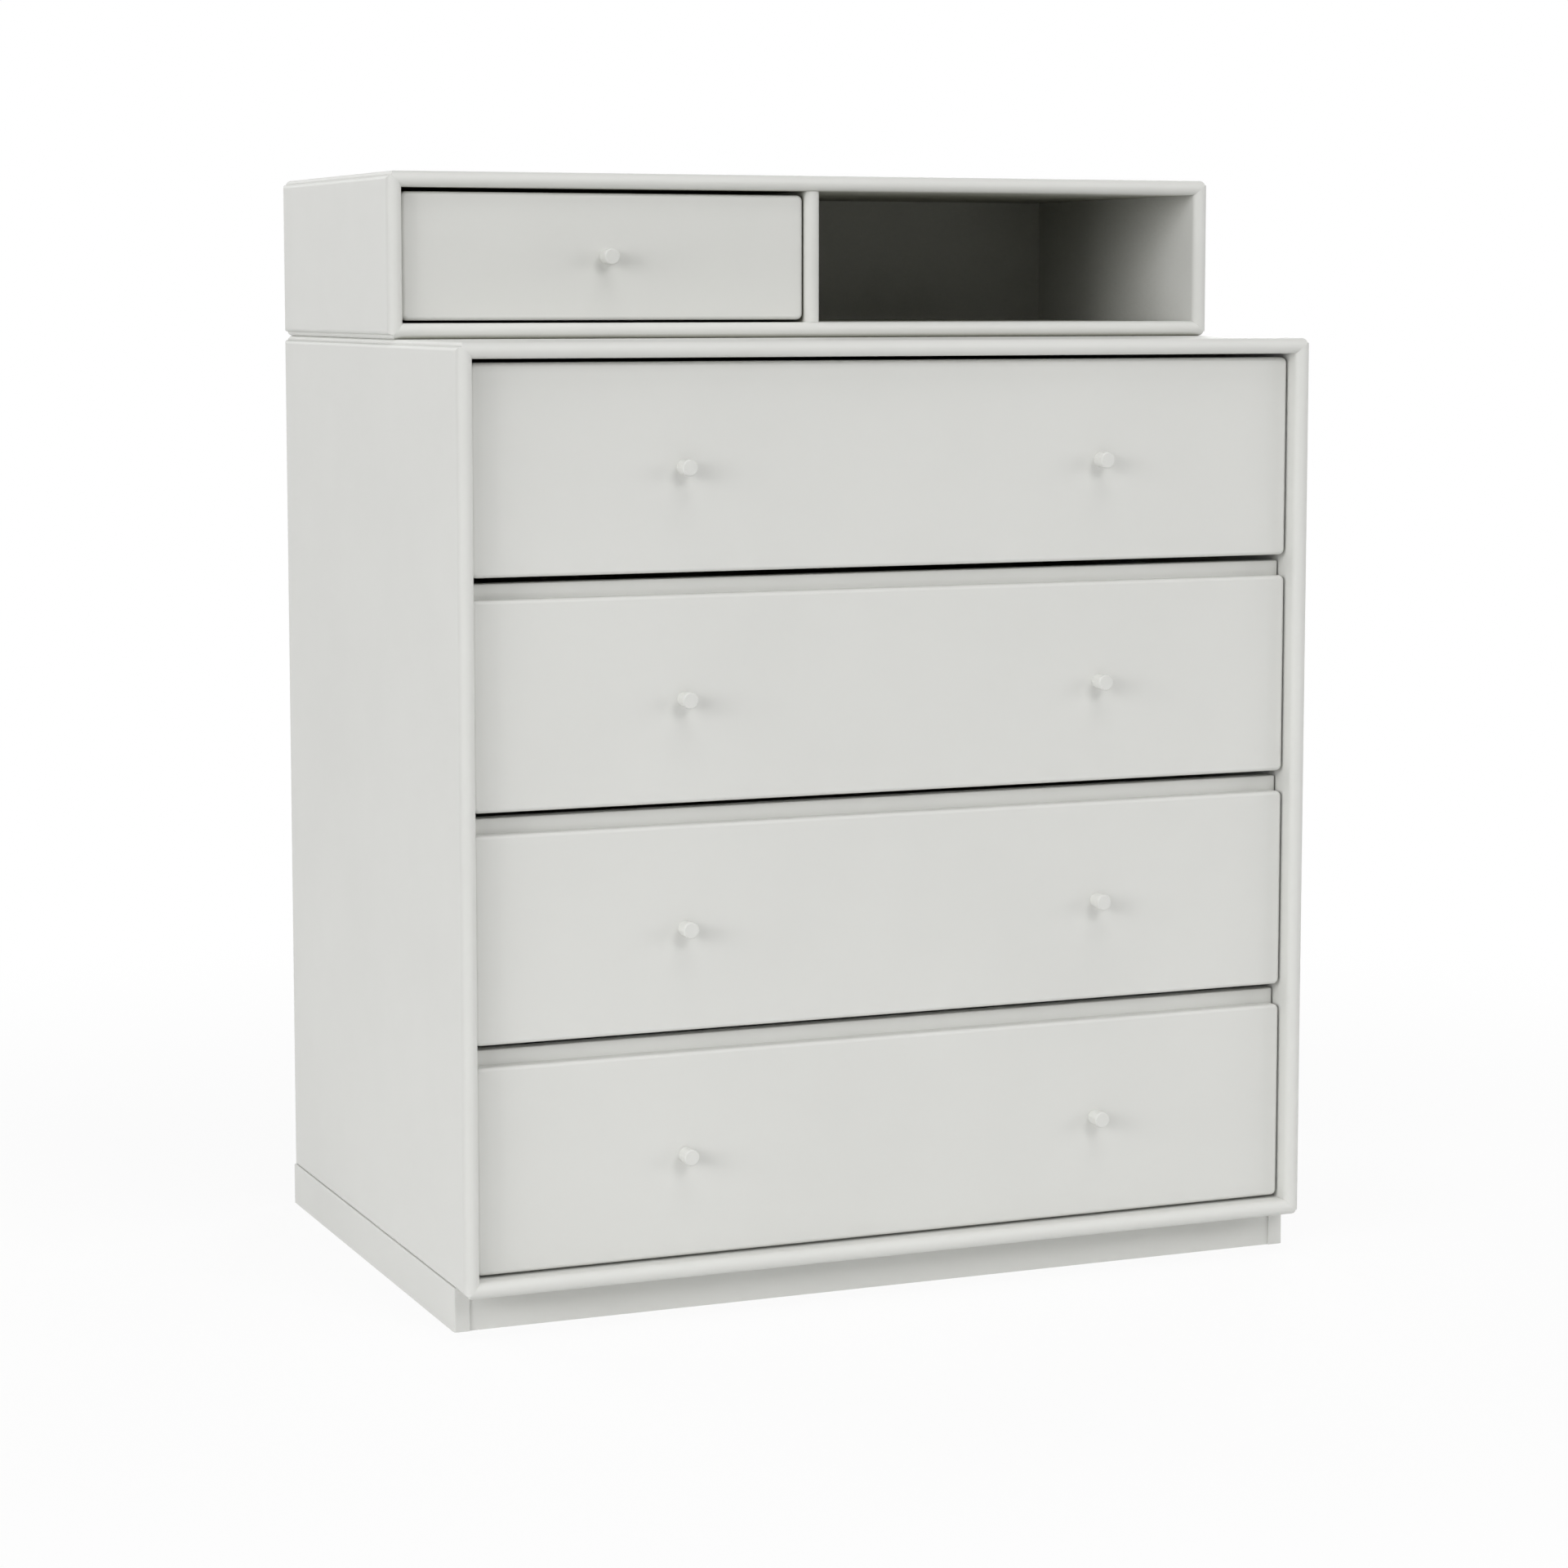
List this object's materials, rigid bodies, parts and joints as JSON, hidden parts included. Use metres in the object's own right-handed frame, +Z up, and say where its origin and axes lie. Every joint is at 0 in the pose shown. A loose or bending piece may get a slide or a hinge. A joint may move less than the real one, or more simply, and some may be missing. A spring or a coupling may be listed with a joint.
{
  "type": "chest of drawers",
  "caption": "Low chest with full-width sliding drawers on a recessed plinth, topped by a shallower unit with a small drawer and an open compartment.",
  "frame": {"origin": "middle of the footprint, on the floor", "axes": "+Z up; +Y to the back, so the drawers open towards -Y; +X to the right seen from the front"},
  "size_m": [0.696, 0.468, 0.852],
  "materials": {
    "lacquer": "satin sprayed lacquer on fibreboard, pale warm grey-green",
    "box_lacquer": "satin lacquer, as on the fronts",
    "knob_lacquer": "satin lacquer on a turned knob",
    "plywood": "clear matt varnish on birch plywood",
    "beech": "waxed beech",
    "screw_steel": "zinc-plated steel"
  },
  "bodies": {
    "chest": {"lower_left_side": "lacquer", "lower_right_side": "lacquer", "lower_top_panel": "lacquer", "lower_bottom_panel": "lacquer", "lower_back_panel": "lacquer", "upper_left_side": "lacquer", "upper_right_side": "lacquer", "upper_top_panel": "lacquer", "upper_bottom_panel": "lacquer", "upper_back_panel": "lacquer", "upper_partition": "lacquer", "plinth_left_board": "lacquer", "plinth_right_board": "lacquer", "plinth_front_rail": "lacquer", "plinth_back_rail": "lacquer", "corner_splines": "beech", "dowels": "beech", "lower_guide_strips": "beech", "upper_guide_strips": "beech", "guide_screws": "screw_steel"},
    "drawer_1": {"drawer_1_front": "lacquer", "drawer_1_inner_front": "lacquer", "drawer_1_left_side": "box_lacquer", "drawer_1_right_side": "box_lacquer", "drawer_1_back": "box_lacquer", "drawer_1_floor": "plywood", "drawer_1_knobs": "knob_lacquer"},
    "drawer_2": {"drawer_2_front": "lacquer", "drawer_2_inner_front": "lacquer", "drawer_2_left_side": "box_lacquer", "drawer_2_right_side": "box_lacquer", "drawer_2_back": "box_lacquer", "drawer_2_floor": "plywood", "drawer_2_knobs": "knob_lacquer"},
    "drawer_3": {"drawer_3_front": "lacquer", "drawer_3_inner_front": "lacquer", "drawer_3_left_side": "box_lacquer", "drawer_3_right_side": "box_lacquer", "drawer_3_back": "box_lacquer", "drawer_3_floor": "plywood", "drawer_3_knobs": "knob_lacquer"},
    "drawer_4": {"drawer_4_front": "lacquer", "drawer_4_inner_front": "lacquer", "drawer_4_left_side": "box_lacquer", "drawer_4_right_side": "box_lacquer", "drawer_4_back": "box_lacquer", "drawer_4_floor": "plywood", "drawer_4_knobs": "knob_lacquer"},
    "upper_drawer": {"upper_drawer_front": "lacquer", "upper_drawer_inner_front": "lacquer", "upper_drawer_left_side": "box_lacquer", "upper_drawer_right_side": "box_lacquer", "upper_drawer_back": "box_lacquer", "upper_drawer_floor": "plywood", "upper_drawer_knob": "knob_lacquer"}
  },
  "joints": [
    {"name": "drawer_1_slide", "type": "slide", "parent": "chest", "child": "drawer_1", "axis": [0, -1, 0], "range_m": [0, 0.32]},
    {"name": "drawer_2_slide", "type": "slide", "parent": "chest", "child": "drawer_2", "axis": [0, -1, 0], "range_m": [0, 0.32]},
    {"name": "drawer_3_slide", "type": "slide", "parent": "chest", "child": "drawer_3", "axis": [0, -1, 0], "range_m": [0, 0.32]},
    {"name": "drawer_4_slide", "type": "slide", "parent": "chest", "child": "drawer_4", "axis": [0, -1, 0], "range_m": [0, 0.32]},
    {"name": "upper_drawer_slide", "type": "slide", "parent": "chest", "child": "upper_drawer", "axis": [0, -1, 0], "range_m": [0, 0.18]}
  ]
}
